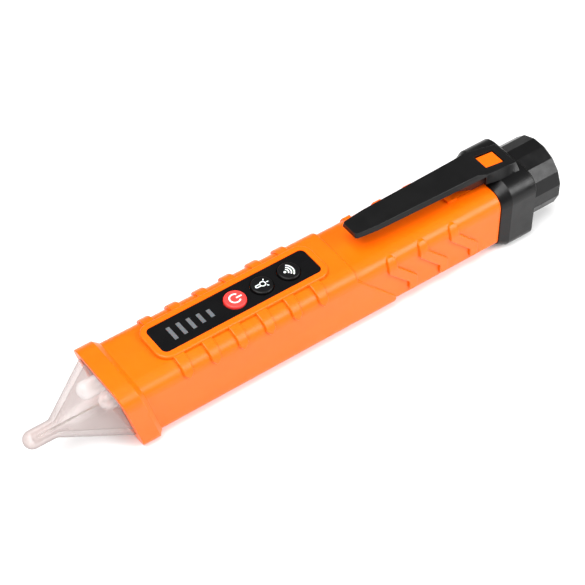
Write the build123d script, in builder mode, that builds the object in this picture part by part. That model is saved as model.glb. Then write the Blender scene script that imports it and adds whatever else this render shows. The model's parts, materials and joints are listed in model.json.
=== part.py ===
from build123d import *
from math import atan, cos, degrees, radians, sin
import os

# Pen-shaped non-contact voltage tester, lying with its button panel up.
# Frame: +X runs from the sensing tip to the tail, +Z is up, the origin is under the middle of the pen
# on the surface it rests on. Stations along the pen are given from the tip, heights from the pen's axis.

os.makedirs("parts", exist_ok=True)

# ---- Driving dimensions (mm) ----
pen_length = 160.0
axis_height = 10.6            # the guard ring and the tail collar both reach this far below the axis

guard_width = 23.5
guard_half_height = axis_height
guard_front = 23.8            # station of the ring's front face on the axis
guard_band = 4.95
guard_bevel = 1.3
guard_edge = 0.25             # rounding of the ring's front edges
guard_corners = (5.0, 3.0)    # upper and lower corner radii
guard_rake = 0.27             # the ring leans forward by this much per millimetre of height
rake_degrees = degrees(atan(guard_rake))

front_width = 21.0
front_height = 18.8
front_corners = (4.2, 2.6)
rear_width = 20.1
rear_height = 17.0
rear_corners = (4.0, 2.0)
wall = 1.45
casing_end = 138.5
step_top = 92.0               # where the thicker grip part of the casing ends, on top
step_bottom = 105.0           # and low on the sides
step_bevel = 0.45

panel_front = 37.9
panel_rear = 85.1
panel_width = 9.1
panel_top = 10.35
panel_thickness = 0.75
panel_corner = 1.5
bezel_rim = 1.85
bezel_top = 10.5
bezel_corner = 3.6

bar_stations = [43.0 + 2.8 * i for i in range(5)]
bar_lengths = [4.4, 4.2, 3.8, 3.3, 2.7]
bar_width = 1.05
button_stations = {"power": 61.5, "lamp": 69.6, "sensitivity": 77.75}
button_diameter = 5.9
button_top = 11.0
button_travel = 0.35

rib_count = 6
rib_first = 40.6
rib_pitch = 8.06
rib_height = 0.7
chevron_count = 3
chevron_first = 102.8
chevron_pitch = 10.0
chevron_width = 2.6
chevron_shift = 6.9           # each rib's lower end lies this far behind its upper end
chevron_height = 0.7
rib_edge = 0.3
chevron_edge = 0.25

cell_diameter = 10.5
cell_length = 44.5
cell_drop = 0.5               # the cells lie this far below the pen's axis
first_cell = 60.1
sleeve_bore = 5.4             # radius
sleeve_wall = 0.7
spigot_radius = 6.3
spigot_end = 147.0

board_bottom = 4.9
board_thickness = 0.8
board_top = board_bottom + board_thickness
board_front = 31.8
board_rear = 93.0
board_width = 16.0
switch_height = 1.2

finger_radius = 2.45
finger_drop = 1.0             # the sensing finger points slightly below the axis
finger_end = 8.2
nose_width = 19.2
nose_height = 17.8            # along the leaning mouth
nose_wall = 1.2

collar_front = casing_end + 0.1
collar_band = 141.4
collar_rear = 150.0
collar_width = 22.6
collar_height = 2 * axis_height
knob_radius = 10.0
knob_facets = 16

clip_top = 14.7
clip_thickness = 1.4
clip_tip = 96.4
clip_split = 127.0            # the arm bends here, where it meets the thick root
clip_slope_start = 134.5
clip_rear = 147.8
clip_rear_top = 12.3
window_front = 138.9
window_rear = 145.2
window_width = 5.0
channel_top = 12.3            # ceiling of the channel that the pressed lug passes through

tongue_root = 127.8
tongue_width = 5.0
tongue_top = rear_height / 2
tongue_thickness = 1.0
tongue_room = 1.15            # free height under the tongue for its dip
lug_front = 139.4
lug_rear = 144.9
lug_top_front = 13.3
lug_top_rear = 12.65
slot_gap = 0.3

finger_bore = 1.45            # radius
finger_wall_front = 2.6
skirt_width = front_width - 2 * wall - 0.1
skirt_height = front_height - 2 * wall - 0.1
skirt_rear = 31.0
pin_radius = 0.3
lead_bend = 33.0              # where the pin and the lamp leads turn up to the board
lamp_fronts = {"lamp_led": 17.2, "alarm_led": 19.9}
lamp_rear = 27.3
lamp_radius = 2.5
lead_radius = 0.25
lead_pitch = 2.54
lamp_spread = 2.9
lamp_rise = 2.6
holder_front = 26.9
holder_length = 3.6

roof_under = front_height / 2 - wall
guide_web = 1.2
button_flange = 0.4
button_foot = roof_under - 0.05 - button_flange
stem_radius = 0.9
screw_stations = (66.0, 89.0)
screw_spread = 7.0
screw_shank = 0.7             # radius
chip_station = 38.5
buzzer_station = 50.0
small_part_stations = (36.0, 39.5, 43.0, 56.0)

sleeve_front = 57.8
shoulder_front = 131.5
strip_inner = 5.92
strip_width = 2.4
contact_front = 147.2
cup_radius = 5.9
cup_rear = 154.8
spring_front = first_cell + 2 * cell_length + 0.4
spring_length = 4.6

head_front = 137.2
head_bottom = axis_height     # the head stands on the collar's flat top
head_half_width = 4.9
root_half_width = 4.6
channel_rear = 146.0
clip_shoulder = 103.0
bump_bottom = 11.4


def section(station, drop=0.0):
    """Plane across the pen: local x is +Y, local y is up, centred on the axis or a drop below it."""
    return Plane(origin=(station - pen_length / 2, 0, axis_height - drop), x_dir=(0, 1, 0), z_dir=(1, 0, 0))


def level(height):
    """Horizontal plane at a height above the axis: local x is the station, local y is +Y."""
    return Plane(origin=(-pen_length / 2, 0, axis_height + height), x_dir=(1, 0, 0), z_dir=(0, 0, 1))


def raked(station):
    """Plane parallel to the guard ring's leaning faces, crossing the axis at a station."""
    lean = radians(rake_degrees)
    return Plane(
        origin=(station - pen_length / 2, 0, axis_height),
        x_dir=(0, 1, 0),
        z_dir=(cos(lean), 0, sin(lean)),
    )


side = Plane(origin=(-pen_length / 2, 0, axis_height), x_dir=(1, 0, 0), z_dir=(0, -1, 0))


def casing_outline(sketch, width, height, top_radius, bottom_radius):
    """Rounded rectangle with its own radii for the upper and the lower corners."""
    Rectangle(width, height)
    fillet(sketch.vertices().group_by(Axis.Y)[-1], top_radius)
    fillet(sketch.vertices().group_by(Axis.Y)[0], bottom_radius)


def finish(builder, name):
    builder.part.label = name
    export_step(builder.part, f"parts/{name}.step")


# ---- Casing: guard ring ----
with BuildPart() as guard_ring:
    with BuildSketch(section(guard_front - 8)) as guard_sketch:
        casing_outline(guard_sketch, guard_width, 2 * guard_half_height, *guard_corners)
    extrude(amount=20)
    split(bisect_by=raked(guard_front), keep=Keep.TOP)
    split(bisect_by=raked(guard_front + guard_band + guard_bevel), keep=Keep.BOTTOM)
    back_face = guard_ring.faces().sort_by(Axis.X)[-1]
    chamfer(back_face.edges(), length=guard_bevel, length2=guard_bevel)
    front_face = guard_ring.faces().sort_by(Axis.X)[0]
    fillet(front_face.edges(), radius=guard_edge)

# ---- Casing: grip ribs that wrap over the upper corners, made for both sides at once ----
with BuildPart() as grip_ribs:
    with BuildSketch(section(rib_first - 4)) as rib_sketch:
        casing_outline(
            rib_sketch,
            front_width + 2 * rib_height,
            front_height + 2 * rib_height,
            4.2 + rib_height,
            2.0,
        )
    extrude(amount=rib_count * rib_pitch + 2)
    with BuildSketch(side):
        for i in range(rib_count):
            middle = rib_first + i * rib_pitch
            with BuildLine():
                Polyline(
                    (middle - 1.7, 11),
                    (middle - 1.15, 6.6),
                    (middle + 0.1, 5.2),
                    (middle + 1.35, 6.6),
                    (middle + 1.7, 11),
                    close=True,
                )
            make_face()
    extrude(amount=front_width, both=True, mode=Mode.INTERSECT)
    fillet(grip_ribs.edges(), radius=rib_edge)

# ---- Casing: Z-shaped ribs on the rear part ----
with BuildPart() as chevron_ribs:
    with BuildSketch(section(chevron_first - 6)) as chevron_sketch:
        casing_outline(
            chevron_sketch,
            rear_width + 2 * chevron_height,
            rear_height + chevron_height,
            4.4,
            2.2,
        )
    extrude(amount=chevron_count * chevron_pitch + 14)
    with BuildSketch(side) as chevron_outlines:
        for i in range(chevron_count):
            top = chevron_first + i * chevron_pitch
            with BuildLine():
                chevron_line = Polyline(
                    (top, 7.9),
                    (top, 4.2),
                    (top + chevron_shift, -2.7),
                    (top + chevron_shift, -6.3),
                )
            trace(chevron_line, line_width=chevron_width)
        fillet(chevron_outlines.vertices(), radius=1.0)
    extrude(amount=rear_width, both=True, mode=Mode.INTERSECT)
    fillet(chevron_ribs.edges(), radius=chevron_edge)

# ---- Casing: raised bezel round the panel ----
with BuildPart() as bezel:
    with BuildSketch(level(front_height / 2 - 1)):
        with Locations(((panel_front + panel_rear) / 2, 0)):
            RectangleRounded(
                panel_rear - panel_front + 2 * bezel_rim,
                panel_width + 2 * bezel_rim,
                bezel_corner,
            )
    extrude(amount=bezel_top - front_height / 2 + 1)
    fillet(bezel.faces().sort_by(Axis.Z)[-1].edges(), radius=0.5)

# ---- Casing: one sleeve with the ring, the bezel and the ribs, open at both ends ----
with BuildPart() as body_shell:
    with BuildSketch(section(guard_front - 4)) as front_sketch:
        casing_outline(front_sketch, front_width, front_height, *front_corners)
    extrude(amount=step_bottom + 6 - guard_front)
    split(bisect_by=raked(guard_front + 1), keep=Keep.TOP)
    # The thick grip part ends square on top and slants back down each side.
    with BuildSketch(side):
        with BuildLine():
            Polyline(
                (step_top, 12),
                (step_top, 6.8),
                (step_bottom - 0.6, -6.2),
                (step_bottom, -12),
                (step_bottom + 6, -12),
                (step_bottom + 6, 12),
                close=True,
            )
        make_face()
    extrude(amount=front_width, both=True, mode=Mode.SUBTRACT)
    step_faces = body_shell.faces().filter_by(lambda face: face.normal_at().X > 0.3)
    step_edges = step_faces.edges().filter_by(lambda edge: abs(edge.center().Y) > 5 or edge.center().Z > 19)
    fillet(step_edges, radius=step_bevel)
    with BuildSketch(section(step_top - 6)) as rear_sketch:
        casing_outline(rear_sketch, rear_width, rear_height, *rear_corners)
    extrude(amount=casing_end - step_top + 6)
    add(grip_ribs.part)
    add(chevron_ribs.part)
    add(bezel.part)
    # Small raised pad over the root of the latch tongue
    with BuildSketch(level(rear_height / 2 - 0.5)):
        with Locations((tongue_root - 0.1, 0)):
            RectangleRounded(3.0, 6.4, 0.6)
    extrude(amount=1.1)
    add(guard_ring.part)
    # Front cavity for the board and the nose's skirt, with its leaning mouth
    with BuildSketch(section(guard_front - 8)) as front_cavity:
        casing_outline(front_cavity, front_width - 2 * wall, front_height - 2 * wall, 2.8, 1.6)
    extrude(amount=step_top - guard_front + 8, mode=Mode.SUBTRACT)
    # Rear cavity for the battery sleeve
    with BuildSketch(section(step_top - 1)) as rear_cavity:
        casing_outline(rear_cavity, rear_width - 2 * wall, rear_height - 2 * wall, 2.6, 1.2)
    extrude(amount=casing_end - 3 - step_top + 1, mode=Mode.SUBTRACT)
    # Rear wall with a hole for the sleeve's spigot and a notch for the return strip
    with BuildSketch(section(casing_end - 4, cell_drop)):
        Circle(spigot_radius + 0.05)
        with Locations((spigot_radius - 0.2, 0)):
            Rectangle(1.0, 2.8)
    extrude(amount=6, mode=Mode.SUBTRACT)
    # Slot around the latch tongue, open to the rear
    with BuildSketch(level(tongue_top - tongue_thickness - tongue_room)):
        with Locations(((tongue_root + casing_end + 2) / 2, 0)):
            Rectangle(casing_end + 2 - tongue_root, tongue_width + 2 * slot_gap)
    extrude(amount=4, mode=Mode.SUBTRACT)
    # Recess for the panel, button holes and bar slots
    with BuildSketch(level(panel_top - panel_thickness)):
        with Locations(((panel_front + panel_rear) / 2, 0)):
            RectangleRounded(panel_rear - panel_front + 0.1, panel_width + 0.1, panel_corner + 0.05)
    extrude(amount=3, mode=Mode.SUBTRACT)
    with BuildSketch(level(5)):
        with Locations([(x, 0) for x in button_stations.values()]):
            Circle(button_diameter / 2 + 0.2)
        for x, bar in zip(bar_stations, bar_lengths):
            with Locations((x, 0)):
                Rectangle(bar_width + 0.2, bar + 0.2)
    extrude(amount=6, mode=Mode.SUBTRACT)
finish(body_shell, "body_shell")

# ---- Clear nose: sensing finger, flared cone and a skirt that plugs into the casing ----
with BuildPart() as nose_skirt:
    with BuildSketch(section(guard_front - 6)) as skirt_sketch:
        casing_outline(skirt_sketch, skirt_width, skirt_height, 2.75, 1.55)
    extrude(amount=skirt_rear - guard_front + 6)
    split(bisect_by=raked(guard_front - 0.5), keep=Keep.TOP)

with BuildPart() as nose_hollow:
    with BuildSketch(section(guard_front - 6)) as hollow_sketch:
        casing_outline(hollow_sketch, skirt_width - 2 * nose_wall, skirt_height - 2 * nose_wall, 1.6, 0.8)
    extrude(amount=skirt_rear - guard_front + 7)
    split(bisect_by=raked(guard_front - 0.2), keep=Keep.TOP)
    with BuildSketch(section(finger_end + 1, finger_drop)):
        RectangleRounded(2 * finger_bore, 2 * finger_bore, finger_bore - 0.01)
    with BuildSketch(raked(guard_front)):
        RectangleRounded(skirt_width - 2 * nose_wall, skirt_height - 2 * nose_wall, 1.6)
    loft()
    with BuildSketch(section(finger_wall_front, finger_drop)):
        Circle(finger_bore)
    extrude(amount=finger_end + 1.4 - finger_wall_front)

with BuildPart() as nose_cone:
    with BuildSketch(section(finger_end, finger_drop)):
        RectangleRounded(2 * finger_radius, 2 * finger_radius, finger_radius - 0.01)
    with BuildSketch(raked(guard_front)):
        RectangleRounded(nose_width, nose_height, 3.5)
    loft()
    with BuildSketch(section(finger_radius, finger_drop)):
        Circle(finger_radius)
    extrude(amount=finger_end - finger_radius + 0.4)
    with Locations((finger_radius - pen_length / 2, 0, axis_height - finger_drop)):
        Sphere(finger_radius)
    add(nose_skirt.part)
    add(nose_hollow.part, mode=Mode.SUBTRACT)
finish(nose_cone, "nose_cone")

# ---- Sensing pin in the finger, bent up to the board ----
with BuildPart() as antenna_pin:
    with BuildSketch(section(finger_wall_front + 0.8, finger_drop)):
        Circle(pin_radius)
    extrude(amount=lead_bend - finger_wall_front - 0.8)
    with BuildSketch(level(-finger_drop - pin_radius)):
        with Locations((lead_bend, 0)):
            Circle(pin_radius)
    extrude(amount=board_bottom + finger_drop + pin_radius)
finish(antenna_pin, "antenna_pin")

# ---- Two 5 mm lamps side by side: the work light and the alarm light ----
for lamp_side, (name, lamp_front) in zip((1, -1), lamp_fronts.items()):
    lamp_y = lamp_side * lamp_spread
    with BuildPart() as lamp:
        with BuildSketch(section(lamp_front + lamp_radius, -lamp_rise)):
            with Locations((lamp_y, 0)):
                Circle(lamp_radius)
        extrude(amount=lamp_rear - lamp_front - lamp_radius)
        with BuildSketch(section(lamp_rear - 1.0, -lamp_rise)):
            with Locations((lamp_y, 0)):
                Circle(lamp_radius + 0.2)
        extrude(amount=1.0)
        with Locations((lamp_front + lamp_radius - pen_length / 2, lamp_y, axis_height + lamp_rise)):
            Sphere(lamp_radius)
        for lead_y in (lamp_y - lead_pitch / 2, lamp_y + lead_pitch / 2):
            with BuildSketch(section(lamp_rear - 0.5, -lamp_rise)):
                with Locations((lead_y, 0)):
                    Circle(lead_radius)
            extrude(amount=lead_bend - lamp_rear + 0.5)
            with BuildSketch(level(lamp_rise - lead_radius)):
                with Locations((lead_bend, lead_y)):
                    Circle(lead_radius)
            extrude(amount=board_bottom - lamp_rise + lead_radius)
    finish(lamp, name)

# ---- White holder that carries both lamps and the pin inside the skirt ----
with BuildPart() as led_holder:
    with BuildSketch(section(holder_front)) as holder_sketch:
        casing_outline(
            holder_sketch,
            skirt_width - 2 * nose_wall - 0.2,
            skirt_height - 2 * nose_wall - 0.2,
            1.5,
            0.8,
        )
    extrude(amount=holder_length)
    with BuildSketch(section(holder_front - 1)):
        with Locations((lamp_spread, lamp_rise), (-lamp_spread, lamp_rise)):
            Circle(lamp_radius + 0.25)
        with Locations((0, -finger_drop)):
            Circle(pin_radius + 0.05)
    extrude(amount=holder_length + 2, mode=Mode.SUBTRACT)
finish(led_holder, "led_holder")

# ---- Black panel let into the bezel ----
with BuildPart() as panel_overlay:
    with BuildSketch(level(panel_top - panel_thickness)):
        with Locations(((panel_front + panel_rear) / 2, 0)):
            RectangleRounded(panel_rear - panel_front, panel_width, panel_corner)
        with Locations([(x, 0) for x in button_stations.values()]):
            Circle(button_diameter / 2 + 0.2, mode=Mode.SUBTRACT)
        for x, bar in zip(bar_stations, bar_lengths):
            with Locations((x, 0)):
                Rectangle(bar_width + 0.1, bar + 0.1, mode=Mode.SUBTRACT)
    extrude(amount=panel_thickness)
finish(panel_overlay, "panel_overlay")

# ---- Light guide: five bars on a web under the casing roof ----
with BuildPart() as bar_light_guide:
    with BuildSketch(level(roof_under - guide_web)):
        with Locations(((bar_stations[0] + bar_stations[-1]) / 2, 0)):
            RectangleRounded(bar_stations[-1] - bar_stations[0] + 3.4, 6.4, 0.8)
    extrude(amount=guide_web)
    with BuildSketch(level(roof_under - 0.2)):
        for x, bar in zip(bar_stations, bar_lengths):
            with Locations((x, 0)):
                Rectangle(bar_width, bar)
    extrude(amount=panel_top - roof_under + 0.2)
finish(bar_light_guide, "bar_light_guide")

# ---- Buttons, with the switch plunger under each ----
for key, station in button_stations.items():
    with BuildPart() as button:
        with BuildSketch(level(button_foot)):
            with Locations((station, 0)):
                Circle(button_diameter / 2 + 0.5)
        extrude(amount=button_flange)
        with BuildSketch(level(button_foot)):
            with Locations((station, 0)):
                Circle(button_diameter / 2)
        extrude(amount=button_top - button_foot)
        fillet(button.faces().sort_by(Axis.Z)[-1].edges(), radius=0.45)
    finish(button, f"{key}_button")

    with BuildPart() as stem:
        with BuildSketch(level(board_top + switch_height - 0.6)):
            with Locations((station, 0)):
                Circle(stem_radius)
        extrude(amount=button_foot - board_top - switch_height + 0.6)
    finish(stem, f"{key}_stem")

    with BuildPart() as switch:
        with BuildSketch(level(board_top)):
            with Locations((station, 0)):
                RectangleRounded(4.5, 4.5, 0.4)
        extrude(amount=switch_height)
        with BuildSketch(level(board_top + switch_height)):
            with Locations((station, 0)):
                Circle(stem_radius + 0.1)
        extrude(amount=-(button_travel + 0.65), mode=Mode.SUBTRACT)
        with BuildSketch(level(board_top)):
            with Locations((station, 2.6), (station, -2.6)):
                Rectangle(2.4, 0.9)
        extrude(amount=0.35)
    finish(switch, f"{key}_switch")

# ---- Circuit board and what is soldered to it ----
with BuildPart() as main_board:
    with BuildSketch(level(board_bottom)):
        with Locations(((board_front + board_rear) / 2, 0)):
            RectangleRounded(board_rear - board_front, board_width, 1.0)
        with Locations([(x, y) for x in screw_stations for y in (screw_spread, -screw_spread)]):
            Circle(screw_shank + 0.1, mode=Mode.SUBTRACT)
    extrude(amount=board_thickness)
finish(main_board, "main_board")

with BuildPart() as bar_leds:
    with BuildSketch(level(board_top)):
        with Locations([(x, 0) for x in bar_stations]):
            Rectangle(0.8, 1.6)
    extrude(amount=0.6)
finish(bar_leds, "bar_leds")

with BuildPart() as controller_chip:
    with BuildSketch(level(board_bottom)):
        with Locations((chip_station, 0)):
            Rectangle(8.6, 3.9)
    extrude(amount=-1.4)
    chamfer(controller_chip.faces().sort_by(Axis.Z)[0].edges(), length=0.2)
    with BuildSketch(level(board_bottom)):
        with Locations((chip_station, 0)):
            with GridLocations(1.27, 5.2, 7, 2):
                Rectangle(0.42, 1.5)
    extrude(amount=-0.5)
finish(controller_chip, "controller_chip")

with BuildPart() as buzzer:
    with BuildSketch(level(board_bottom)):
        with Locations((buzzer_station, 0)):
            Circle(4.5)
    extrude(amount=-3.2)
    fillet(buzzer.faces().sort_by(Axis.Z)[0].edges(), radius=0.4)
    with BuildSketch(level(board_bottom - 3.2)):
        with Locations((buzzer_station, 0)):
            Circle(0.8)
    extrude(amount=1.0, mode=Mode.SUBTRACT)
finish(buzzer, "buzzer")

with BuildPart() as board_components:
    with BuildSketch(level(board_bottom)):
        for station in small_part_stations:
            with Locations((station, 6.2), (station, -6.2)):
                Rectangle(2.0, 1.25)
    extrude(amount=-0.7)
finish(board_components, "board_components")

with BuildPart() as board_screws:
    for station in screw_stations:
        for screw_y in (screw_spread, -screw_spread):
            with BuildSketch(level(board_top)):
                with Locations((station, screw_y)):
                    Circle(1.4)
            extrude(amount=0.9)
            with BuildSketch(level(board_top)):
                with Locations((station, screw_y)):
                    Circle(screw_shank)
            extrude(amount=-5.0)
            with BuildSketch(level(board_top + 0.9)):
                with Locations((station, screw_y)):
                    Rectangle(1.6, 0.35)
                    Rectangle(0.35, 1.6)
            extrude(amount=-0.45, mode=Mode.SUBTRACT)
finish(board_screws, "board_screws")

# ---- Battery sleeve: trough under the board, tube behind it, spigot for the cap ----
with BuildPart() as battery_sleeve:
    with BuildSketch(section(sleeve_front, cell_drop)):
        Circle(sleeve_bore + sleeve_wall)
    extrude(amount=spigot_end - sleeve_front)
    with BuildSketch(section(board_rear + 3, cell_drop)):
        Circle(spigot_radius)
    extrude(amount=spigot_end - board_rear - 3)
    with BuildSketch(section(shoulder_front, cell_drop)):
        Circle(spigot_radius + 0.15)
    extrude(amount=casing_end - 3.1 - shoulder_front)
    # Screw posts beside the trough
    with BuildSketch(level(-2.5)):
        for station in screw_stations:
            with Locations((station, screw_spread), (station, -screw_spread)):
                RectangleRounded(3.6, 3.0, 0.6)
    extrude(amount=board_bottom + 2.5)
    # Bore for the cells, open above under the board
    with BuildSketch(section(sleeve_front + 1.8, cell_drop)):
        Circle(sleeve_bore)
    extrude(amount=spigot_end - sleeve_front, mode=Mode.SUBTRACT)
    with BuildSketch(level(3.5)):
        with Locations(((sleeve_front + board_rear + 1) / 2, 0)):
            Rectangle(board_rear + 3 - sleeve_front, 2 * sleeve_bore)
    extrude(amount=4, mode=Mode.SUBTRACT)
    # Screw holes, and the groove for the return strip
    with BuildSketch(level(board_bottom)):
        for station in screw_stations:
            with Locations((station, screw_spread), (station, -screw_spread)):
                Circle(screw_shank)
    extrude(amount=-(5.0 - board_thickness), mode=Mode.SUBTRACT)
    with BuildSketch(section(sleeve_front - 1, cell_drop)):
        with Locations((strip_inner + 0.6, 0)):
            Rectangle(1.3, strip_width + 0.2)
    extrude(amount=spigot_end - sleeve_front + 2, mode=Mode.SUBTRACT)
finish(battery_sleeve, "battery_sleeve")

# ---- Two AAA cells in line, positive ends to the front ----
for i, name in enumerate(("front_cell", "rear_cell")):
    start = first_cell + i * cell_length
    with BuildPart() as cell:
        with BuildSketch(section(start + 1.0, cell_drop)):
            Circle(cell_diameter / 2)
        extrude(amount=cell_length - 1.0)
        fillet(cell.edges(), radius=0.4)
        with BuildSketch(section(start, cell_drop)):
            Circle(1.9)
        extrude(amount=1.2)
    finish(cell, name)

# ---- Contacts ----
with BuildPart() as front_contact:
    with BuildSketch(section(first_cell - 0.4, cell_drop)):
        Circle(4.2)
        with Locations((0, 3.0)):
            Rectangle(2.4, 4.8)
    extrude(amount=0.4)
finish(front_contact, "front_contact")

with BuildPart() as return_strip:
    with BuildSketch(section(first_cell - 0.4, cell_drop)):
        with Locations((strip_inner + 0.15, 0)):
            Rectangle(0.3, strip_width)
    extrude(amount=spigot_end - first_cell + 0.4)
    with BuildSketch(section(first_cell - 0.4)):
        with Locations((strip_inner + 0.15, (board_bottom - cell_drop) / 2)):
            Rectangle(0.3, board_bottom + cell_drop)
    extrude(amount=2.4)
finish(return_strip, "return_strip")

with BuildPart() as tail_contact:
    with BuildSketch(section(contact_front, cell_drop)):
        Circle(cup_radius + 0.45)
    extrude(amount=0.4)
    with BuildSketch(section(contact_front, cell_drop)):
        Circle(cup_radius)
    extrude(amount=cup_rear - contact_front)
    with BuildSketch(section(contact_front - 1, cell_drop)):
        Circle(cup_radius - 0.3)
    extrude(amount=cup_rear - contact_front + 0.6, mode=Mode.SUBTRACT)
finish(tail_contact, "tail_contact")

with BuildPart() as tail_spring:
    with BuildLine():
        spring_line = Helix(
            pitch=spring_length / 4,
            height=spring_length,
            radius=3.8,
            center=(spring_front - pen_length / 2, 0, axis_height - cell_drop),
            direction=(1, 0, 0),
            cone_angle=-12,
        )
    with BuildSketch(Plane(origin=spring_line @ 0, z_dir=spring_line % 0)):
        Circle(0.3)
    sweep(path=spring_line, is_frenet=True)
finish(tail_spring, "tail_spring")

# ---- Latch tongue: flexes at its root, carries the lug that fills the window in the clip's head ----
with BuildPart() as latch_tongue:
    with BuildSketch(level(tongue_top - tongue_thickness)):
        with Locations(((tongue_root + 0.2 + lug_rear) / 2, 0)):
            Rectangle(lug_rear - tongue_root - 0.2, tongue_width)
    extrude(amount=tongue_thickness)
    with BuildSketch(side):
        with BuildLine():
            Polyline(
                (lug_front, tongue_top - 0.2),
                (lug_front, lug_top_front),
                (lug_rear, lug_top_rear),
                (lug_rear, tongue_top - 0.2),
                close=True,
            )
        make_face()
    extrude(amount=window_width / 2 - 0.3, both=True)
finish(latch_tongue, "latch_tongue")

# ---- Tail cap: collar ----
with BuildPart() as tail_collar:
    with BuildSketch(section(collar_front)) as lip_sketch:
        casing_outline(lip_sketch, rear_width + 0.6, rear_height + 0.6, 4.2, 2.2)
    with BuildSketch(section(collar_band)) as band_sketch:
        casing_outline(band_sketch, collar_width, collar_height, 5.0, 3.4)
    loft(ruled=True)
    with BuildSketch(section(collar_band)) as band_sketch_again:
        casing_outline(band_sketch_again, collar_width, collar_height, 5.0, 3.4)
    extrude(amount=collar_rear - collar_band)
    chamfer(tail_collar.faces().sort_by(Axis.X)[-1].edges(), length=0.7)
    with BuildSketch(section(collar_front - 1, cell_drop)):
        Circle(spigot_radius + 0.2)
    extrude(amount=contact_front + 0.4 - collar_front + 1, mode=Mode.SUBTRACT)
    with BuildSketch(section(contact_front - 0.5, cell_drop)):
        Circle(cup_radius + 0.05)
    extrude(amount=collar_rear - contact_front + 1, mode=Mode.SUBTRACT)
    # Slot for the latch tongue and its lug
    with BuildSketch(level(5.0)):
        with Locations(((collar_front - 1 + channel_rear) / 2, 0)):
            Rectangle(channel_rear - collar_front + 1, tongue_width + 2 * slot_gap)
    extrude(amount=8, mode=Mode.SUBTRACT)
finish(tail_collar, "tail_collar")

# ---- Tail cap: faceted knob ----
with BuildPart() as tail_knob:
    with BuildSketch(section(collar_rear)):
        RegularPolygon(radius=knob_radius, side_count=knob_facets, rotation=180 / knob_facets)
    extrude(amount=pen_length - collar_rear)
    chamfer(tail_knob.faces().sort_by(Axis.X)[-1].edges(), length=0.6)
    with BuildSketch(section(collar_rear - 1, cell_drop)):
        Circle(cup_radius + 0.05)
    extrude(amount=cup_rear - collar_rear + 1, mode=Mode.SUBTRACT)
finish(tail_knob, "tail_knob")

# ---- Clip: thick root and head, moulded on the collar ----
slope = (clip_top - clip_rear_top) / (clip_rear - clip_slope_start)
with BuildPart() as clip_root:
    with BuildSketch(side):
        with BuildLine():
            Polyline(
                (clip_split, clip_top - clip_thickness),
                (clip_split, clip_top),
                (clip_slope_start, clip_top),
                (head_front, clip_top - slope * (head_front - clip_slope_start)),
                (head_front, clip_top - clip_thickness),
                close=True,
            )
        make_face()
    extrude(amount=6, both=True)
    # The plate widens toward the head.
    with BuildSketch(level(5)):
        with BuildLine():
            Polyline(
                (clip_split, root_half_width),
                (head_front, head_half_width),
                (head_front, -head_half_width),
                (clip_split, -root_half_width),
                close=True,
            )
        make_face()
    extrude(amount=12, mode=Mode.INTERSECT)
    # Narrower block under the plate
    with BuildSketch(side):
        with BuildLine():
            Polyline(
                (clip_split + 0.4, clip_top - clip_thickness + 0.1),
                (clip_split + 0.4, clip_top - clip_thickness),
                (133.0, head_bottom),
                (139.0, head_bottom),
                (139.0, clip_top - clip_thickness + 0.1),
                close=True,
            )
        make_face()
    extrude(amount=head_half_width - 0.6, both=True)
    # Head: a low saddle whose flanks flare out down to the collar
    for station, top_half, top, bottom_half in (
        (head_front, head_half_width, clip_top - slope * (head_front - clip_slope_start), head_half_width),
        (collar_band, 4.65, clip_top - slope * (collar_band - clip_slope_start), 5.85),
        (clip_rear, 4.2, clip_rear_top, 5.9),
    ):
        with BuildSketch(section(station)):
            with BuildLine():
                Polyline(
                    (bottom_half, head_bottom),
                    (top_half, top),
                    (-top_half, top),
                    (-bottom_half, head_bottom),
                    close=True,
                )
            make_face()
    loft(ruled=True)
    with BuildSketch(level(head_bottom - 1)):
        with Locations(((window_front + window_rear) / 2, 0)):
            Rectangle(window_rear - window_front, window_width)
    extrude(amount=8, mode=Mode.SUBTRACT)
    with BuildSketch(level(head_bottom - 1)):
        with Locations(((clip_split - 1 + channel_rear) / 2, 0)):
            Rectangle(channel_rear - clip_split + 1, tongue_width + 2 * slot_gap)
    extrude(amount=channel_top - head_bottom + 1, mode=Mode.SUBTRACT)
finish(clip_root, "clip_root")

# ---- Clip: springy arm with a tapered tip and a small grip bump under it ----
with BuildPart() as clip_arm:
    with BuildSketch(level(clip_top - clip_thickness)):
        with BuildLine():
            Polyline(
                (clip_split - 0.2, root_half_width),
                (clip_shoulder, 3.85),
                (clip_tip + 0.5, 3.1),
                (clip_tip, 2.6),
                (clip_tip, -2.6),
                (clip_tip + 0.5, -3.1),
                (clip_shoulder, -3.85),
                (clip_split - 0.2, -root_half_width),
                close=True,
            )
        make_face()
    extrude(amount=clip_thickness)
    with BuildSketch(side):
        with BuildLine():
            Polyline(
                (clip_tip + 1.4, clip_top - clip_thickness + 0.1),
                (clip_tip + 3.0, bump_bottom + 0.6),
                (clip_tip + 4.0, bump_bottom),
                (clip_tip + 5.2, bump_bottom),
                (clip_tip + 8.5, clip_top - clip_thickness + 0.1),
                close=True,
            )
        make_face()
    extrude(amount=1.2, both=True)
    fillet(clip_arm.faces().sort_by(Axis.Z)[-1].edges().filter_by(lambda edge: edge.center().X < 46), radius=0.3)
finish(clip_arm, "clip_arm")
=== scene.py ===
# %% [markdown]
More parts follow.
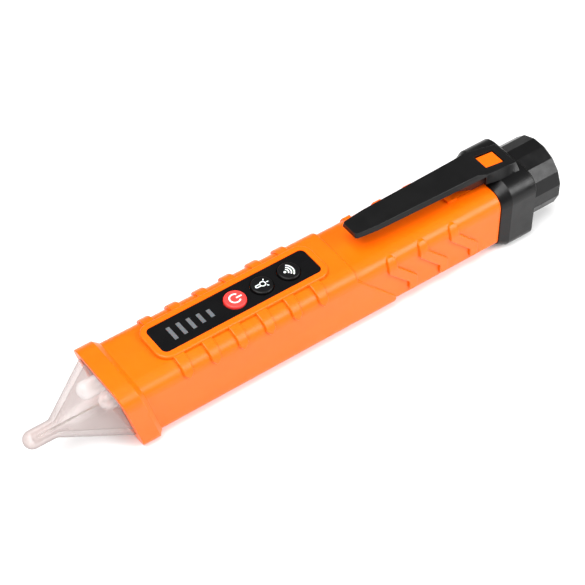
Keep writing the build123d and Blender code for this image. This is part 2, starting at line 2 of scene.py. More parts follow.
# # A pocket voltage tester
# The tester is a 160 mm pen: a clear sensing nose, a two-step orange casing with a black key panel,
# and a black screw-facetted cap that carries the pocket clip. The dimensions and the moving bodies
# come from the imported CAD frame. This lesson adds finishes, a remodelled pocket clip, printed key
# symbols, the lamps' insides, a floor, lights and a camera. Everything is in metres in the frame's own
# axes: +X runs from the tip to the tail and +Z is up.

# %% Load the frame
import bpy
import json
from math import cos, pi, radians, sin
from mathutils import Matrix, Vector


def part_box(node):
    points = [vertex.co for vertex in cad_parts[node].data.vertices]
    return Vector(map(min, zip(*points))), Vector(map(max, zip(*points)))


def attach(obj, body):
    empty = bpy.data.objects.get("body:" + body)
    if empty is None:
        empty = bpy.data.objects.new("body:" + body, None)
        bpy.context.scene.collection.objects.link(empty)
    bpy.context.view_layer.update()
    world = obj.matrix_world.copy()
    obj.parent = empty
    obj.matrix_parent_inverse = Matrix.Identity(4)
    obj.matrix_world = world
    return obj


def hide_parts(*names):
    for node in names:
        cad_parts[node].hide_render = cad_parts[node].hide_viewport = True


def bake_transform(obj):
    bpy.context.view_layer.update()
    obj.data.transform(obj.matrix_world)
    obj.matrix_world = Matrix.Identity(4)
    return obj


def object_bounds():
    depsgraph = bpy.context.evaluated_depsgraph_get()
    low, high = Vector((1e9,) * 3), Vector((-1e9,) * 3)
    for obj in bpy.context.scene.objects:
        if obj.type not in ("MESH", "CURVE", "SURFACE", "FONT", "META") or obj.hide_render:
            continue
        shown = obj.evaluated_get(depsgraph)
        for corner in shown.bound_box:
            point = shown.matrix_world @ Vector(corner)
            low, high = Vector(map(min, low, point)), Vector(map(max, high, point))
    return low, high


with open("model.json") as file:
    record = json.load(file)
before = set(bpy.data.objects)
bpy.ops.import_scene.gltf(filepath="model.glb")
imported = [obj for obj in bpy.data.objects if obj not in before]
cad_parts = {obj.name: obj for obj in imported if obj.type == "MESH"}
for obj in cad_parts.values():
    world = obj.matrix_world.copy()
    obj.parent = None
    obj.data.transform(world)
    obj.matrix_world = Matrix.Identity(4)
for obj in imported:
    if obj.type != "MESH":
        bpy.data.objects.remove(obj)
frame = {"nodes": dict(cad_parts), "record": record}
cad_low, cad_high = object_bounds()
mm = 0.001
print("CAD box, mm:", [round(side / mm, 1) for side in cad_high - cad_low])

# %% [markdown]
# ## Camera
# The pen lies almost across the view, turned about 36 degrees, and is seen from 47 degrees above the
# floor. A long lens at half a metre keeps its sides nearly parallel, as in a catalogue picture. The
# camera aims at a point on the pen's middle plane, a little above the floor.

# %% Camera at a three-quarter view
turn = radians(-35.914)
height_angle = radians(47.09)
camera_distance = 0.511977
lens_length = 125.12437
aim = Vector((-0.001062, 0, 0.01272))
across = Vector((-sin(turn), cos(turn), 0))
sight = across * cos(height_angle) - Vector((0, 0, 1)) * sin(height_angle)
bpy.ops.object.camera_add(location=aim - sight * camera_distance)
camera = bpy.context.object
camera.name = "camera"
camera.rotation_euler = sight.to_track_quat("-Z", "Y").to_euler()
camera.data.sensor_width = 36
camera.data.lens = lens_length
camera.data.clip_start = 0.01
bpy.context.scene.camera = camera
print("camera at", tuple(round(value, 3) for value in camera.location))

# %% [markdown]
# ## Light
# Moulded plastic shows its form by wide, soft reflections. A box light on the near side, towards the
# tail, picks out the ribs and the facets of the cap. It stands high enough that a low view from behind
# doesn't see it mirrored in the flat top. A large overhead light keeps the shadow under the clip soft,
# and a weak one from the left fills the nose. The part of the room that the tops mirror stays dim, so
# black plastic stays black. The light is strong enough for the orange to reach full brightness, so its
# shadows turn a deep red-orange and not brown.

# %% Soft studio lights
bpy.context.scene.view_settings.view_transform = "Standard"


def box_light(name, direction, distance, width, depth, power):
    """A rectangular soft light at a distance from the pen, facing it."""
    place = Vector(direction).normalized() * distance
    bpy.ops.object.light_add(type="AREA", location=place)
    light = bpy.context.object
    light.name = name
    light.data.shape = "RECTANGLE"
    light.data.size = width
    light.data.size_y = depth
    light.data.energy = power
    light.rotation_euler = (-place).to_track_quat("-Z", "Y").to_euler()


box_light("near_light", (0.62, -0.66, 0.62), 1.40, 1.00, 0.60, 20.0)
box_light("top_light", (-0.34, 0.02, 0.94), 2.20, 1.90, 1.90, 86.0)
box_light("nose_light", (-0.80, -0.50, 0.35), 1.60, 0.80, 0.60, 3.5)
world = bpy.data.worlds.new("studio")
world.use_nodes = True
backdrop = world.node_tree.nodes["Background"]
backdrop.inputs["Color"].default_value = (1.0, 0.99, 0.98, 1)
backdrop.inputs["Strength"].default_value = 0.28
bpy.context.scene.world = world
print("lights:", [item.name for item in bpy.data.lights])

# %% [markdown]
# ## Tools for finishes
# Every finish is a node tree on Object coordinates, so a pattern keeps its real size on any piece.
# Small functions add the nodes that all of them share: a noise of a given size in metres, a colour
# between two tones, a number between two values, and a relief of a given depth.

# %% Functions for finishes
finishes = {}


def new_finish(slot_name, **sockets):
    """A material for one slot, with these values set on its shader's own sockets."""
    material = bpy.data.materials.new(slot_name)
    material.use_nodes = True
    finishes[slot_name] = material
    shader = material.node_tree.nodes["Principled BSDF"]
    for socket, value in sockets.items():
        shader.inputs[socket.replace("_", " ")].default_value = value
    return material.node_tree, shader


def add_node(tree, kind, **sockets):
    """A node of this kind, with these values set on its input sockets."""
    made = tree.nodes.new("ShaderNode" + kind)
    for socket, value in sockets.items():
        made.inputs[socket.replace("_", " ")].default_value = value
    return made


def place_on_object(tree, stretch=(1, 1, 1), shift=(0, 0, 0)):
    """Object coordinates, stretched or shifted."""
    coordinates = add_node(tree, "TexCoord")
    mapping = add_node(tree, "Mapping", Scale=stretch, Location=shift)
    tree.links.new(coordinates.outputs["Object"], mapping.inputs["Vector"])
    return mapping.outputs["Vector"]


def noise(tree, size, detail=2.0, stretch=(1, 1, 1)):
    """Cloudy noise whose lumps are about this size in metres."""
    texture = add_node(tree, "TexNoise", Scale=1 / size, Detail=detail)
    tree.links.new(place_on_object(tree, stretch), texture.inputs["Vector"])
    return texture.outputs["Fac"]


def tones(tree, factor, stops):
    """Colour from a ramp of (position, red, green, blue) stops."""
    ramp = tree.nodes.new("ShaderNodeValToRGB")
    while len(ramp.color_ramp.elements) < len(stops):
        ramp.color_ramp.elements.new(0.5)
    for element, (position, *colour) in zip(ramp.color_ramp.elements, stops):
        element.position = position
        element.color = (*colour, 1)
    tree.links.new(factor, ramp.inputs["Fac"])
    return ramp.outputs["Color"]


def between(tree, factor, low, high):
    """Number that runs from low to high as the noise runs over its middle range."""
    spread = add_node(tree, "MapRange")
    spread.inputs["From Min"].default_value = 0.3
    spread.inputs["From Max"].default_value = 0.7
    spread.inputs["To Min"].default_value = low
    spread.inputs["To Max"].default_value = high
    tree.links.new(factor, spread.inputs["Value"])
    return spread.outputs["Result"]


def relief(tree, shader, height, depth, under=None):
    """Bumps of this depth in metres on the shader's normal, over another bump if one is given."""
    bump = add_node(tree, "Bump", Strength=1.0, Distance=depth)
    tree.links.new(height, bump.inputs["Height"])
    if under is not None:
        tree.links.new(under, bump.inputs["Normal"])
    tree.links.new(bump.outputs["Normal"], shader.inputs["Normal"])
    return bump.outputs["Normal"]


def moulded(slot_name, dark, light, rough, grain, depth, flow=0.02, **sockets):
    """Moulded plastic: slow colour drift, gloss that varies with it, and a fine spark-eroded grain."""
    tree, shader = new_finish(slot_name, **sockets)
    drift = noise(tree, flow, 3.0, (0.4, 1, 1))
    tree.links.new(tones(tree, drift, [(0.3, *dark), (0.7, *light)]), shader.inputs["Base Color"])
    tree.links.new(between(tree, noise(tree, flow / 6), *rough), shader.inputs["Roughness"])
    slow = relief(tree, shader, noise(tree, 0.006, 1.0), depth * 4)
    relief(tree, shader, noise(tree, grain), depth, slow)
    return tree, shader


print("finish functions ready")

# %% [markdown]
# ## Orange casing
# The casing and the latch are injection-moulded ABS in a saturated orange with a satin face. The
# mould is spark-eroded, which leaves a grain a fifth of a millimetre wide and a few microns deep, and
# the wall shrinks a little unevenly, which gives long soft waves in the gloss. A little subsurface
# scattering softens the edges. The colour is a deep one, because the strong light lifts it.

# %% Orange plastic
moulded(
    "orange_shell",
    (0.94, 0.119, 0.0006),
    (0.98, 0.134, 0.0010),
    rough=(0.30, 0.37),
    grain=0.00022,
    depth=0.0000035,
    Subsurface_Weight=0.12,
    Subsurface_Radius=(1.0, 0.20, 0.05),
    Subsurface_Scale=0.0012,
    Specular_IOR_Level=0.24,
)
print("orange casing finish made")

# %% [markdown]
# ## Black plastics
# The cap and the clip are black ABS with a coarser, sandy grain that turns lit facets dark grey. The
# key caps are soft-touch rubberised plastic, a shade darker and duller. The panel is a smooth,
# printed overlay with faint long waves and almost no grain.

# %% Black cap, black keys and the panel
moulded(
    "black_cap",
    (0.0024, 0.0024, 0.0026),
    (0.0036, 0.0036, 0.0038),
    rough=(0.28, 0.40),
    grain=0.00030,
    depth=0.0000090,
    Specular_IOR_Level=0.25,
)
moulded(
    "black_button",
    (0.0018, 0.0018, 0.0020),
    (0.0028, 0.0028, 0.0031),
    rough=(0.36, 0.46),
    grain=0.00016,
    depth=0.0000030,
    Specular_IOR_Level=0.20,
)
moulded(
    "black_panel",
    (0.0018, 0.0018, 0.0021),
    (0.0027, 0.0027, 0.0031),
    rough=(0.24, 0.32),
    grain=0.00060,
    depth=0.0000008,
    Specular_IOR_Level=0.20,
)
print("black finishes made")

# %% [markdown]
# ## Red key
# The power key is the same soft plastic in signal red. It is slightly milky, so a little light
# spreads inside it and its rim looks pinker than its face.

# %% Red key
moulded(
    "red_button",
    (0.80, 0.034, 0.030),
    (0.88, 0.044, 0.039),
    rough=(0.42, 0.52),
    grain=0.00018,
    depth=0.0000030,
    Subsurface_Weight=0.20,
    Subsurface_Radius=(1.0, 0.3, 0.25),
    Subsurface_Scale=0.0012,
    Specular_IOR_Level=0.45,
)
print("red key finish made")

# %% [markdown]
# ## Plastics inside the casing
# The lamp holder is opaque white ABS that throws light forward, the battery sleeve is unfilled grey
# nylon with flow marks along its length, and the chips and the buzzer are matt black epoxy.

# %% White, grey and component plastics
moulded(
    "white_plastic",
    (0.80, 0.79, 0.77),
    (0.87, 0.86, 0.84),
    rough=(0.38, 0.50),
    grain=0.00025,
    depth=0.0000030,
    Subsurface_Weight=0.15,
    Subsurface_Scale=0.0010,
)
moulded(
    "sleeve_plastic",
    (0.055, 0.058, 0.062),
    (0.085, 0.088, 0.092),
    rough=(0.40, 0.60),
    grain=0.00050,
    depth=0.0000080,
)
moulded(
    "component_black",
    (0.018, 0.018, 0.019),
    (0.034, 0.034, 0.035),
    rough=(0.55, 0.75),
    grain=0.00012,
    depth=0.0000060,
    flow=0.006,
)
moulded(
    "component_tan",
    (0.30, 0.20, 0.12),
    (0.46, 0.33, 0.21),
    rough=(0.35, 0.55),
    grain=0.00010,
    depth=0.0000050,
    flow=0.002,
)
print("inner plastics made")

# %% [markdown]
# ## Clear plastics
# The nose is clear polycarbonate, a little milky and slightly warm from the orange behind it. One
# wall would be nearly invisible, so its shader is mostly see-through where it is faced squarely and
# closes up towards grazing angles, as a real wall does when light runs along it. Its colour also
# darkens towards grazing angles, which is painted shade for the dark edges of a real clear wall. The
# finger at its front is nearly solid, so it is made cloudier over its first 13 mm. The same recipe,
# whiter and denser, makes the lamps' lenses, with a faint painted glow that brightens them. The level
# bars are frosted, and the moulded recipe suits them.

# %% Clear nose, lamp lenses and level bars


finger_cloud = 0.45
cloud_share = 0.12


def clear(slot_name, face_share, edge_share, tint, rim, rough, solid=None, **sockets):
    """Clear plastic: pale when faced, denser at grazing angles, and darkened there by painted shade.

    Between the two X places of solid it goes from fully cloudy to clear.
    """
    tree, shader = new_finish(slot_name, **sockets)
    # White emission colour for the faint painted glow that some lenses are given.
    shader.inputs["Emission Color"].default_value = (1, 1, 1, 1)
    tree.links.new(between(tree, noise(tree, 0.002), *rough), shader.inputs["Roughness"])
    grazing = add_node(tree, "LayerWeight", Blend=0.50)
    # Random cloudiness plus the grazing factor; the grazing part paints shade on the edges.
    cloud_and_painted_shade = tree.nodes.new("ShaderNodeMath")
    cloud_and_painted_shade.operation = "MULTIPLY_ADD"
    cloud_and_painted_shade.inputs[1].default_value = cloud_share
    tree.links.new(noise(tree, 0.004), cloud_and_painted_shade.inputs[0])
    tree.links.new(grazing.outputs["Facing"], cloud_and_painted_shade.inputs[2])
    # Colour runs from the tint to the rim colour towards grazing angles: painted edge shade.
    painted_edge_shade = tones(tree, cloud_and_painted_shade.outputs[0], [(0.35, *tint), (1.0, *rim)])
    tree.links.new(painted_edge_shade, shader.inputs["Base Color"])
    spread = add_node(tree, "MapRange")
    spread.inputs["To Min"].default_value = face_share
    spread.inputs["To Max"].default_value = edge_share
    tree.links.new(grazing.outputs["Facing"], spread.inputs["Value"])
    tree.links.new(spread.outputs["Result"], shader.inputs["Alpha"])
    if solid:
        axes = add_node(tree, "SeparateXYZ")
        tree.links.new(place_on_object(tree), axes.inputs["Vector"])
        milky = add_node(tree, "MapRange")
        milky.inputs["From Min"].default_value = solid[0]
        milky.inputs["From Max"].default_value = solid[1]
        milky.inputs["To Min"].default_value = finger_cloud
        milky.inputs["To Max"].default_value = 0.0
        tree.links.new(axes.outputs["X"], milky.inputs["Value"])
        total = add_node(tree, "Math")
        total.use_clamp = True
        tree.links.new(spread.outputs["Result"], total.inputs[0])
        tree.links.new(milky.outputs["Result"], total.inputs[1])
        tree.links.new(total.outputs[0], shader.inputs["Alpha"])
    relief(tree, shader, noise(tree, 0.005, 1.0), 0.00003)
    return tree, shader


clear(
    "clear_nose",
    face_share=0.04,
    edge_share=0.82,
    tint=(0.52, 0.43, 0.41),
    # The rim colour is painted shade at grazing angles.
    rim=(0.18, 0.15, 0.15),
    rough=(0.12, 0.22),
    solid=(cad_low.x + 0.001, cad_low.x + 0.014),
    Specular_IOR_Level=0.30,
)
clear(
    "led_lens",
    face_share=0.45,
    edge_share=0.90,
    tint=(0.84, 0.84, 0.84),
    # The rim colour is painted shade at grazing angles.
    rim=(0.30, 0.29, 0.28),
    rough=(0.04, 0.10),
    # A faint painted glow that brightens the lens.
    Emission_Strength=0.22,
    Specular_IOR_Level=0.8,
    Coat_Weight=1.0,
    Coat_Roughness=0.03,
)
clear(
    "alarm_lens",
    face_share=0.36,
    edge_share=0.90,
    tint=(0.90, 0.80, 0.78),
    # The rim colour is painted shade at grazing angles.
    rim=(0.52, 0.40, 0.38),
    rough=(0.04, 0.10),
    # A faint painted glow that brightens the lens.
    Emission_Strength=0.06,
    Specular_IOR_Level=0.8,
    Coat_Weight=1.0,
    Coat_Roughness=0.03,
)
moulded(
    "bar_diffuser",
    (0.100, 0.105, 0.115),
    (0.130, 0.135, 0.145),
    rough=(0.30, 0.42),
    grain=0.00015,
    depth=0.0000040,
    Subsurface_Weight=0.3,
    Subsurface_Scale=0.0006,
)
print("clear finishes made")

# %% [markdown]
# ## Metals
# The sensing pin, the spring, the cup and the front contact are nickel-plated, the return strip is
# bare brass with darker stains, and the screws are zinc-plated steel. Rolled and drawn metal carries
# fine lines along its length, so the noise is stretched along X.

# %% Nickel, brass and steel


def metal(slot_name, dark, light, rough, lines, depth):
    """Drawn or rolled metal with fine lines along the pen and uneven staining."""
    tree, shader = new_finish(slot_name, Metallic=1.0)
    stain = noise(tree, 0.003, 4.0)
    tree.links.new(tones(tree, stain, [(0.3, *dark), (0.75, *light)]), shader.inputs["Base Color"])
    drawn = noise(tree, lines, 3.0, (0.06, 1, 1))
    tree.links.new(between(tree, drawn, *rough), shader.inputs["Roughness"])
    relief(tree, shader, drawn, depth)


metal("nickel", (0.56, 0.54, 0.50), (0.74, 0.72, 0.68), (0.18, 0.34), 0.00012, 0.0000020)
metal("brass_strip", (0.50, 0.33, 0.12), (0.80, 0.58, 0.25), (0.22, 0.42), 0.00015, 0.0000020)
metal("screw_steel", (0.42, 0.43, 0.44), (0.62, 0.63, 0.62), (0.25, 0.45), 0.00010, 0.0000030)
print("metal finishes made")

# %% [markdown]
# ## Circuit board
# A green solder mask lies over copper tracks. The tracks show as slightly raised, lighter lanes in
# straight runs, which a brick pattern gives when its bricks are long.

# %% Solder mask with tracks
tree, shader = new_finish("circuit_board", Coat_Weight=0.4, Coat_Roughness=0.15)
lanes = add_node(tree, "TexBrick", Scale=260.0)
lanes.inputs["Color1"].default_value = (0.006, 0.085, 0.030, 1)
lanes.inputs["Color2"].default_value = (0.009, 0.110, 0.040, 1)
lanes.inputs["Mortar"].default_value = (0.030, 0.230, 0.095, 1)
lanes.inputs["Mortar Size"].default_value = 0.045
lanes.inputs["Brick Width"].default_value = 1.7
lanes.inputs["Row Height"].default_value = 0.33
tree.links.new(place_on_object(tree), lanes.inputs["Vector"])
tree.links.new(lanes.outputs["Color"], shader.inputs["Base Color"])
tree.links.new(between(tree, noise(tree, 0.004), 0.22, 0.38), shader.inputs["Roughness"])
relief(tree, shader, lanes.outputs["Fac"], 0.00002)
print("board finish made")

# %% [markdown]
# ## Battery jackets
# Each cell is shrink-wrapped: a bare steel rim, a copper-coloured band at the positive end and a dark
# jacket. Both cells share one finish, because the pattern repeats with the cells' pitch along X. No
# lettering is printed on them.

# %% Banded jackets
cell_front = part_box("front_cell")[0].x
cell_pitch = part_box("rear_cell")[0].x - cell_front
tree, shader = new_finish("cell_jacket", Coat_Weight=0.3, Coat_Roughness=0.1)
split_axes = add_node(tree, "SeparateXYZ")
tree.links.new(place_on_object(tree, shift=(-cell_front, 0, 0)), split_axes.inputs["Vector"])
turns = add_node(tree, "Math")
turns.operation = "DIVIDE"
turns.inputs[1].default_value = cell_pitch
tree.links.new(split_axes.outputs["X"], turns.inputs[0])
share = add_node(tree, "Math")
share.operation = "FRACT"
tree.links.new(turns.outputs[0], share.inputs[0])
bands = [
    (0.000, 0.55, 0.54, 0.52),
    (0.034, 0.60, 0.24, 0.07),
    (0.300, 0.015, 0.016, 0.020),
    (0.950, 0.10, 0.10, 0.11),
    (0.985, 0.50, 0.50, 0.49),
]
jacket = tones(tree, share.outputs[0], bands)
tree.nodes["Color Ramp"].color_ramp.interpolation = "CONSTANT"
tree.links.new(jacket, shader.inputs["Base Color"])
tree.links.new(between(tree, noise(tree, 0.003), 0.20, 0.36), shader.inputs["Roughness"])
relief(tree, shader, noise(tree, 0.0008, 3.0, (1, 0.4, 0.4)), 0.00001)
print("jacket bands every", round(cell_pitch / mm, 1), "mm")

# %% [markdown]
# ## Finishes on the CAD nodes
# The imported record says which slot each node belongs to, so one loop puts the finishes on. The node
# object's own slots are used, and the meshes are not touched.

# %% Put a finish on every node
slot_of = {row["node"]: row["material_slot"] for row in frame["record"]["subparts"]}
for name, node in frame["nodes"].items():
    if not node.material_slots:
        node.data.materials.append(None)
    for material_slot in node.material_slots:
        material_slot.material = finishes[slot_of[name]]
print(len(slot_of), "nodes finished in", len(finishes), "materials")

# %% [markdown]
# ## Tools for modelling
# New pieces start as a primitive and are shaped by edit-mode operators. An operator acts on all that
# is selected, so these functions deselect everything first and then choose faces by a rule.

# %% Functions for modelling


def only(piece):
    """Selects this one object and makes it active."""
    bpy.ops.object.select_all(action="DESELECT")
    piece.select_set(True)
    bpy.context.view_layer.objects.active = piece


def choose_faces(piece, rule):
    """Goes into edit mode with just the faces selected that the rule accepts by centre and normal."""
    only(piece)
    bpy.ops.object.mode_set(mode="EDIT")
    bpy.ops.mesh.select_mode(type="FACE")
    bpy.ops.mesh.select_all(action="DESELECT")
    bpy.ops.object.mode_set(mode="OBJECT")
    for face in piece.data.polygons:
        face.select = rule(face.center, face.normal)
    bpy.ops.object.mode_set(mode="EDIT")


def leave_edit():
    """Back to object mode."""
    bpy.ops.object.mode_set(mode="OBJECT")


def settle(piece):
    """Puts the object's place, turn and size into its mesh."""
    only(piece)
    bpy.ops.object.transform_apply(location=True, rotation=True, scale=True)


def box_between(name, low, high):
    """A box from its lowest to its highest corner, as a start for shaping."""
    bpy.ops.mesh.primitive_cube_add(size=1)
    piece = bpy.context.object
    piece.name = name
    piece.data.name = name
    piece.location = (Vector(low) + Vector(high)) / 2
    piece.scale = Vector(high) - Vector(low)
    settle(piece)
    return piece


def finish_mesh(piece, bevel=0.0, segments=2, smooth_degrees=35):
    """Merges doubles, turns faces outward, softens sharp edges and smooths the rest."""
    only(piece)
    bpy.ops.object.mode_set(mode="EDIT")
    bpy.ops.mesh.select_all(action="SELECT")
    bpy.ops.mesh.remove_doubles(threshold=0.000002)
    bpy.ops.mesh.normals_make_consistent(inside=False)
    leave_edit()
    if bevel:
        soften = piece.modifiers.new("soften", "BEVEL")
        soften.width = bevel
        soften.segments = segments
        soften.limit_method = "ANGLE"
        soften.angle_limit = radians(32)
        bpy.ops.object.modifier_apply(modifier="soften")
    bpy.ops.object.shade_smooth_by_angle(angle=radians(smooth_degrees))


def dress(piece, slot_name, body):
    """Gives the piece its finish and its slot, and makes it ride on a body."""
    piece.data.materials.clear()
    piece.data.materials.append(finishes[slot_name])
    if body:
        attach(piece, body)
    print(piece.name, "has", len(piece.data.polygons), "faces")


def copy_of_node(name, new_name):
    """A free copy of a CAD node with its loose triangles merged and its flat faces joined."""
    only(frame["nodes"][name])
    bpy.ops.object.duplicate()
    piece = bpy.context.object
    piece.parent = None
    piece.name = new_name
    piece.data.name = new_name
    for key in [key for key in piece.keys() if key.startswith("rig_")]:
        del piece[key]
    bpy.ops.object.mode_set(mode="EDIT")
    bpy.ops.mesh.select_all(action="SELECT")
    bpy.ops.mesh.remove_doubles(threshold=0.000002)
    bpy.ops.mesh.dissolve_limited(angle_limit=radians(0.5))
    leave_edit()
    return piece


print("modelling functions ready")

# %% [markdown]
# ## Pocket clip
# The clip is one springy moulding. Its arm bends where it leaves the thick root, so a stiff copy of
# the CAD arm would show a gap there. The CAD root is copied and its front face opened. The arm is
# extruded from a short box, station by station, to meet it, and its top is then drawn in so that the
# sides slope and catch the light. The arm's last stretch has several stations.

# %% Clip arm extruded to the root
arm_low, arm_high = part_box("clip_arm")
clip_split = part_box("clip_root")[0].x
arm_under = arm_high.z - 1.4 * mm
tip_half, corner_half, shoulder_half = 2.6 * mm, 3.1 * mm, 3.85 * mm
widening = 0.75 * mm
corner = arm_low.x + 0.5 * mm
bump_front = arm_low.x + 1.6 * mm
shoulder = arm_low.x + 6.6 * mm
bend_spacing = 2.5 * mm
arm = box_between(
    "pocket_clip",
    (arm_low.x, -tip_half, arm_under),
    (corner, tip_half, arm_high.z),
)
choose_faces(arm, lambda centre, normal: normal.x > 0.9)
bpy.ops.transform.resize(value=(1, corner_half / tip_half, 1))
half_width = corner_half
station = corner
bends = [clip_split - step * bend_spacing for step in range(6, 0, -1)]
for stop in [bump_front, shoulder, *bends, clip_split]:
    if stop <= shoulder:
        wider = corner_half + widening * (stop - arm_low.x) / (shoulder - arm_low.x)
    else:
        wider = shoulder_half + widening * (stop - shoulder) / (clip_split - shoulder)
    bpy.ops.mesh.extrude_region_move(TRANSFORM_OT_translate={"value": (stop - station, 0, 0)})
    bpy.ops.transform.resize(value=(1, wider / half_width, 1))
    station, half_width = stop, wider
leave_edit()
print("arm ends at", round(station / mm, 2), "mm with half width", round(half_width / mm, 2))

# %% Grip bump under the tip
choose_faces(
    arm,
    lambda centre, normal: normal.z < -0.9 and bump_front < centre.x < shoulder,
)
bpy.ops.mesh.inset(thickness=1.1 * mm)
bpy.ops.mesh.extrude_region_move(TRANSFORM_OT_translate={"value": (0, 0, arm_low.z - arm_under)})
bpy.ops.transform.resize(value=(0.5, 0.6, 1))
leave_edit()
choose_faces(arm, lambda centre, normal: abs(centre.x - clip_split) < 0.01 * mm)
bpy.ops.mesh.delete(type="FACE")
leave_edit()
print("clip arm has", len(arm.data.polygons), "faces")

# %% Join the arm to the root and slope the sides
root = copy_of_node("clip_root", "clip_root_copy")
choose_faces(
    root,
    lambda centre, normal: abs(centre.x - clip_split) < 0.01 * mm and normal.x < -0.9,
)
bpy.ops.mesh.delete(type="FACE")
leave_edit()
only(arm)
root.select_set(True)
bpy.ops.object.join()
clip = bpy.context.object
clip.name = "pocket_clip"
head_front = clip_split + 10.2 * mm
top_share = 0.86
only(clip)
bpy.ops.object.mode_set(mode="EDIT")
bpy.ops.mesh.select_mode(type="VERT")
bpy.ops.mesh.select_all(action="DESELECT")
leave_edit()
for point in clip.data.vertices:
    on_top = point.co.z > arm_high.z - 0.5 * mm and point.co.x < head_front - 0.1 * mm
    point.select = on_top and abs(point.co.y) > 2 * mm
bpy.ops.object.mode_set(mode="EDIT")
bpy.ops.transform.resize(value=(1, top_share, 1), center_override=(0, 0, arm_high.z))
leave_edit()
finish_mesh(clip, bevel=0.16 * mm, segments=2, smooth_degrees=12)
dress(clip, "black_cap", None)
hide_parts("clip_arm", "clip_root")
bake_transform(clip)

# %% [markdown]
# ## Smooth nose
# The nose's curved walls are long thin triangles in the CAD export, and a see-through finish would
# show every one of them as a streak. A copy is rebuilt with even faces a fifth of a millimetre wide
# and relaxed a little, so that it reads as one smooth moulding with soft edges.

# %% Remesh and smooth the nose
face_width = 0.20 * mm
nose = copy_of_node("nose_cone", "clear_nose")
only(nose)
rebuilt = nose.modifiers.new("rebuilt", "REMESH")
rebuilt.mode = "VOXEL"
rebuilt.voxel_size = face_width
bpy.ops.object.modifier_apply(modifier="rebuilt")
relaxed = nose.modifiers.new("relaxed", "SMOOTH")
relaxed.factor = 0.5
relaxed.iterations = 24
bpy.ops.object.modifier_apply(modifier="relaxed")
finish_mesh(nose, smooth_degrees=60)
dress(nose, "clear_nose", "casing")
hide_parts("nose_cone")

# %% [markdown]
# ## Lamp insides
# A 5 mm lamp is a lead frame cast in epoxy: one lead ends in a small reflector cup that holds the
# chip, and the other in a flat flag beside it. The cup is a short drum whose front is inset and
# pushed in, and the chip is a bevelled tile at the cup's bottom. Both lamps get the same set.

# %% Reflector cups, flags and chips
def lead_frame(node_name):
    """Cup, post and flag inside one lamp, joined into one piece, and the chip as a piece of its own.
    """
    low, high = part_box(node_name)
    centre_y = (low.y + high.y) / 2
    centre_z = high.z - 2.7 * mm
    cup_x = low.x + 4.2 * mm
    bpy.ops.mesh.primitive_cylinder_add(
        vertices=24, radius=0.85 * mm, depth=0.9 * mm, rotation=(0, pi / 2, 0)
    )
    cup = bpy.context.object
    cup.name = node_name + "_frame"
    cup.location = (cup_x, centre_y - 0.4 * mm, centre_z)
    settle(cup)
    choose_faces(cup, lambda centre, normal: normal.x < -0.9)
    bpy.ops.mesh.inset(thickness=0.18 * mm)
    bpy.ops.mesh.extrude_region_move(TRANSFORM_OT_translate={"value": (0.45 * mm, 0, 0)})
    bpy.ops.transform.resize(value=(1, 0.55, 0.55))
    leave_edit()
    post_rear = low.x + 7.0 * mm
    post = box_between(
        "post",
        (cup_x + 0.4 * mm, centre_y - 1.5 * mm, centre_z - 0.25 * mm),
        (post_rear, centre_y - 1.0 * mm, centre_z + 0.25 * mm),
    )
    flag = box_between(
        "flag",
        (cup_x - 0.2 * mm, centre_y + 0.75 * mm, centre_z - 0.3 * mm),
        (cup_x + 1.0 * mm, centre_y + 1.25 * mm, centre_z + 0.3 * mm),
    )
    choose_faces(flag, lambda centre, normal: normal.x > 0.9)
    bpy.ops.transform.resize(value=(1, 0.8, 0.8))
    bpy.ops.mesh.extrude_region_move(
        TRANSFORM_OT_translate={"value": (post_rear - cup_x - 1.0 * mm, 0, 0)}
    )
    leave_edit()
    only(cup)
    post.select_set(True)
    flag.select_set(True)
    bpy.ops.object.join()
    finish_mesh(cup, bevel=0.04 * mm, segments=1)
    dress(cup, "nickel", "casing")
    chip = box_between(
        node_name + "_chip",
        (cup_x - 0.12 * mm, centre_y - 0.58 * mm, centre_z - 0.18 * mm),
        (cup_x + 0.04 * mm, centre_y - 0.22 * mm, centre_z + 0.18 * mm),
    )
    finish_mesh(chip, bevel=0.03 * mm, segments=1)
    dress(chip, "component_tan", "casing")


for lamp_node in ("lamp_led", "alarm_led"):
    lead_frame(lamp_node)

# %% [markdown]
# ## Key symbols
# The symbols are pad-printed in white, a few hundredths of a millimetre thick. They are built in
# strokes. An arc is a small square spun round a centre, and a straight stroke is a bevelled bar. A
# symbol's upward direction is the pen's tail. The first key has the standby mark, the second a torch
# with three rays, and the third a sensing mark of a dot and three waves.

# %% Strokes
print_depth = 0.03 * mm
stroke = 0.40 * mm


def arc_stroke(centre, radius, start, sweep, width=stroke):
    """A flat arc round a point, starting at an angle from +X and sweeping anticlockwise."""
    bpy.ops.mesh.primitive_plane_add(size=1, rotation=(pi / 2, 0, 0))
    piece = bpy.context.object
    piece.scale = (width, print_depth * 2, 1)
    piece.location = Vector(centre) + Vector((radius, 0, 0))
    settle(piece)
    bpy.ops.object.mode_set(mode="EDIT")
    bpy.ops.mesh.select_all(action="SELECT")
    steps = max(6, int(sweep / radians(9)))
    bpy.ops.mesh.spin(steps=steps, angle=sweep, center=centre, axis=(0, 0, 1))
    leave_edit()
    # The spin runs clockwise seen from above, so the turn adds the sweep back.
    turn_about(piece, centre, start + sweep)
    return piece


def turn_about(piece, centre, angle):
    """Turns a piece about a vertical line through a point, in its mesh."""
    piece.rotation_euler = (0, 0, angle)
    middle = Vector(centre)
    turned = Vector(
        (
            middle.x * cos(angle) - middle.y * sin(angle),
            middle.x * sin(angle) + middle.y * cos(angle),
            middle.z,
        )
    )
    piece.location = middle - turned
    settle(piece)


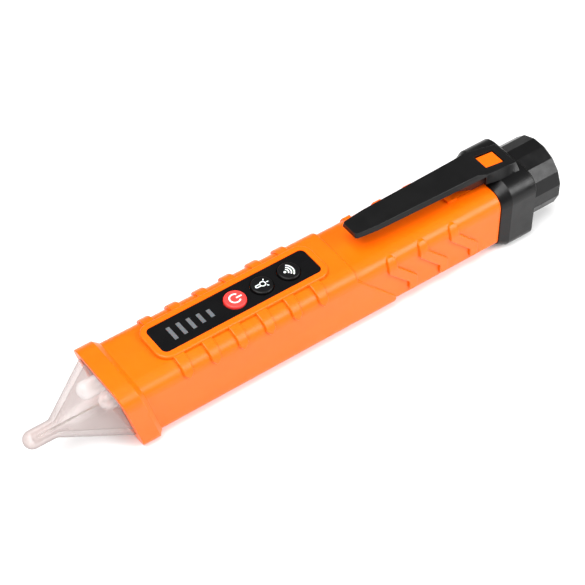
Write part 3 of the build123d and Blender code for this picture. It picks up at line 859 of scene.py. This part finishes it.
def bar_stroke(centre, start, length, angle, width=stroke):
    """A straight stroke that starts this far from a point and runs outward at an angle from +X."""
    middle = Vector(centre)
    piece = box_between(
        "bar",
        middle + Vector((start, -width / 2, -print_depth)),
        middle + Vector((start + length, width / 2, print_depth)),
    )
    choose_faces(piece, lambda place, normal: abs(normal.x) > 0.9)
    bpy.ops.mesh.inset(thickness=print_depth / 3)
    leave_edit()
    turn_about(piece, centre, angle)
    return piece


def printed(name, strokes, key):
    """Joins the strokes of one symbol, finishes it white and puts it on its key's body."""
    only(strokes[0])
    for other in strokes[1:]:
        other.select_set(True)
    bpy.ops.object.join()
    symbol = bpy.context.object
    symbol.name = name
    symbol.data.name = name
    finish_mesh(symbol)
    dress(symbol, "white_plastic", key)


def key_top(node_name):
    """The middle of a key's top face."""
    low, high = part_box(node_name)
    return (low.x + high.x) / 2, (low.y + high.y) / 2, high.z


print("strokes are", round(stroke / mm, 2), "mm wide")

# %% Standby, torch and sensing marks
place = key_top("power_button")
gap = radians(42)
ring = arc_stroke(place, 1.40 * mm, gap, 2 * pi - 2 * gap)
bar = bar_stroke(place, 0.35 * mm, 1.60 * mm, 0)
printed("standby_mark", [ring, bar], "power_key")

place = Vector(key_top("lamp_button"))
line = 0.27 * mm
head = place + Vector((0.25 * mm, 0, 0))
handle_end = head + Vector((-1.75 * mm, 0, 0))
outline = arc_stroke(head, 0.74 * mm, radians(170), radians(356), line)
end_cap = arc_stroke(handle_end, 0.34 * mm, radians(90), radians(180), line)
sides = [
    bar_stroke(head + Vector((0, side * 0.34 * mm, 0)), 0.64 * mm, 1.11 * mm, pi, line)
    for side in (-1, 1)
]
rays = [
    bar_stroke(head, 1.10 * mm, 0.58 * mm, radians(slant), line) for slant in (-52, 0, 52)
]
printed("torch_mark", [outline, end_cap, *sides, *rays], "lamp_key")

place = Vector(key_top("sensitivity_button"))
wave_line = 0.34 * mm
source = place + Vector((-1.15 * mm, 0, 0))
dot = arc_stroke(source, 0.18 * mm, 0, radians(359), wave_line)
waves = [
    arc_stroke(source, radius * mm, radians(-52), radians(104), wave_line)
    for radius in (0.95, 1.65, 2.35)
]
printed("sensing_mark", [dot, *waves], "sensitivity_key")

# %% [markdown]
# ## Floor
# A plain pale sheet under the pen, far wider than the view, with faint unevenness in its tone. It
# glows a little, so that it stays white where the lights fall off, and its soft shadow stays light.

# %% Pale floor
bpy.ops.mesh.primitive_plane_add(size=6, location=(0, 0, cad_low.z - 0.00002))
floor = bpy.context.object
floor.name = "floor"
floor.data.materials.append(None)
tree, shader = new_finish("floor_paper", Specular_IOR_Level=0.1, Emission_Strength=0.15)
shader.inputs["Emission Color"].default_value = (1, 1, 1, 1)
paper = tones(tree, noise(tree, 0.2), [(0.3, 0.71, 0.71, 0.71), (0.7, 0.74, 0.74, 0.74)])
tree.links.new(paper, shader.inputs["Base Color"])
tree.links.new(between(tree, noise(tree, 0.01), 0.75, 0.85), shader.inputs["Roughness"])
floor.material_slots[0].material = finishes["floor_paper"]
print("floor at", round(floor.location.z / mm, 3), "mm")
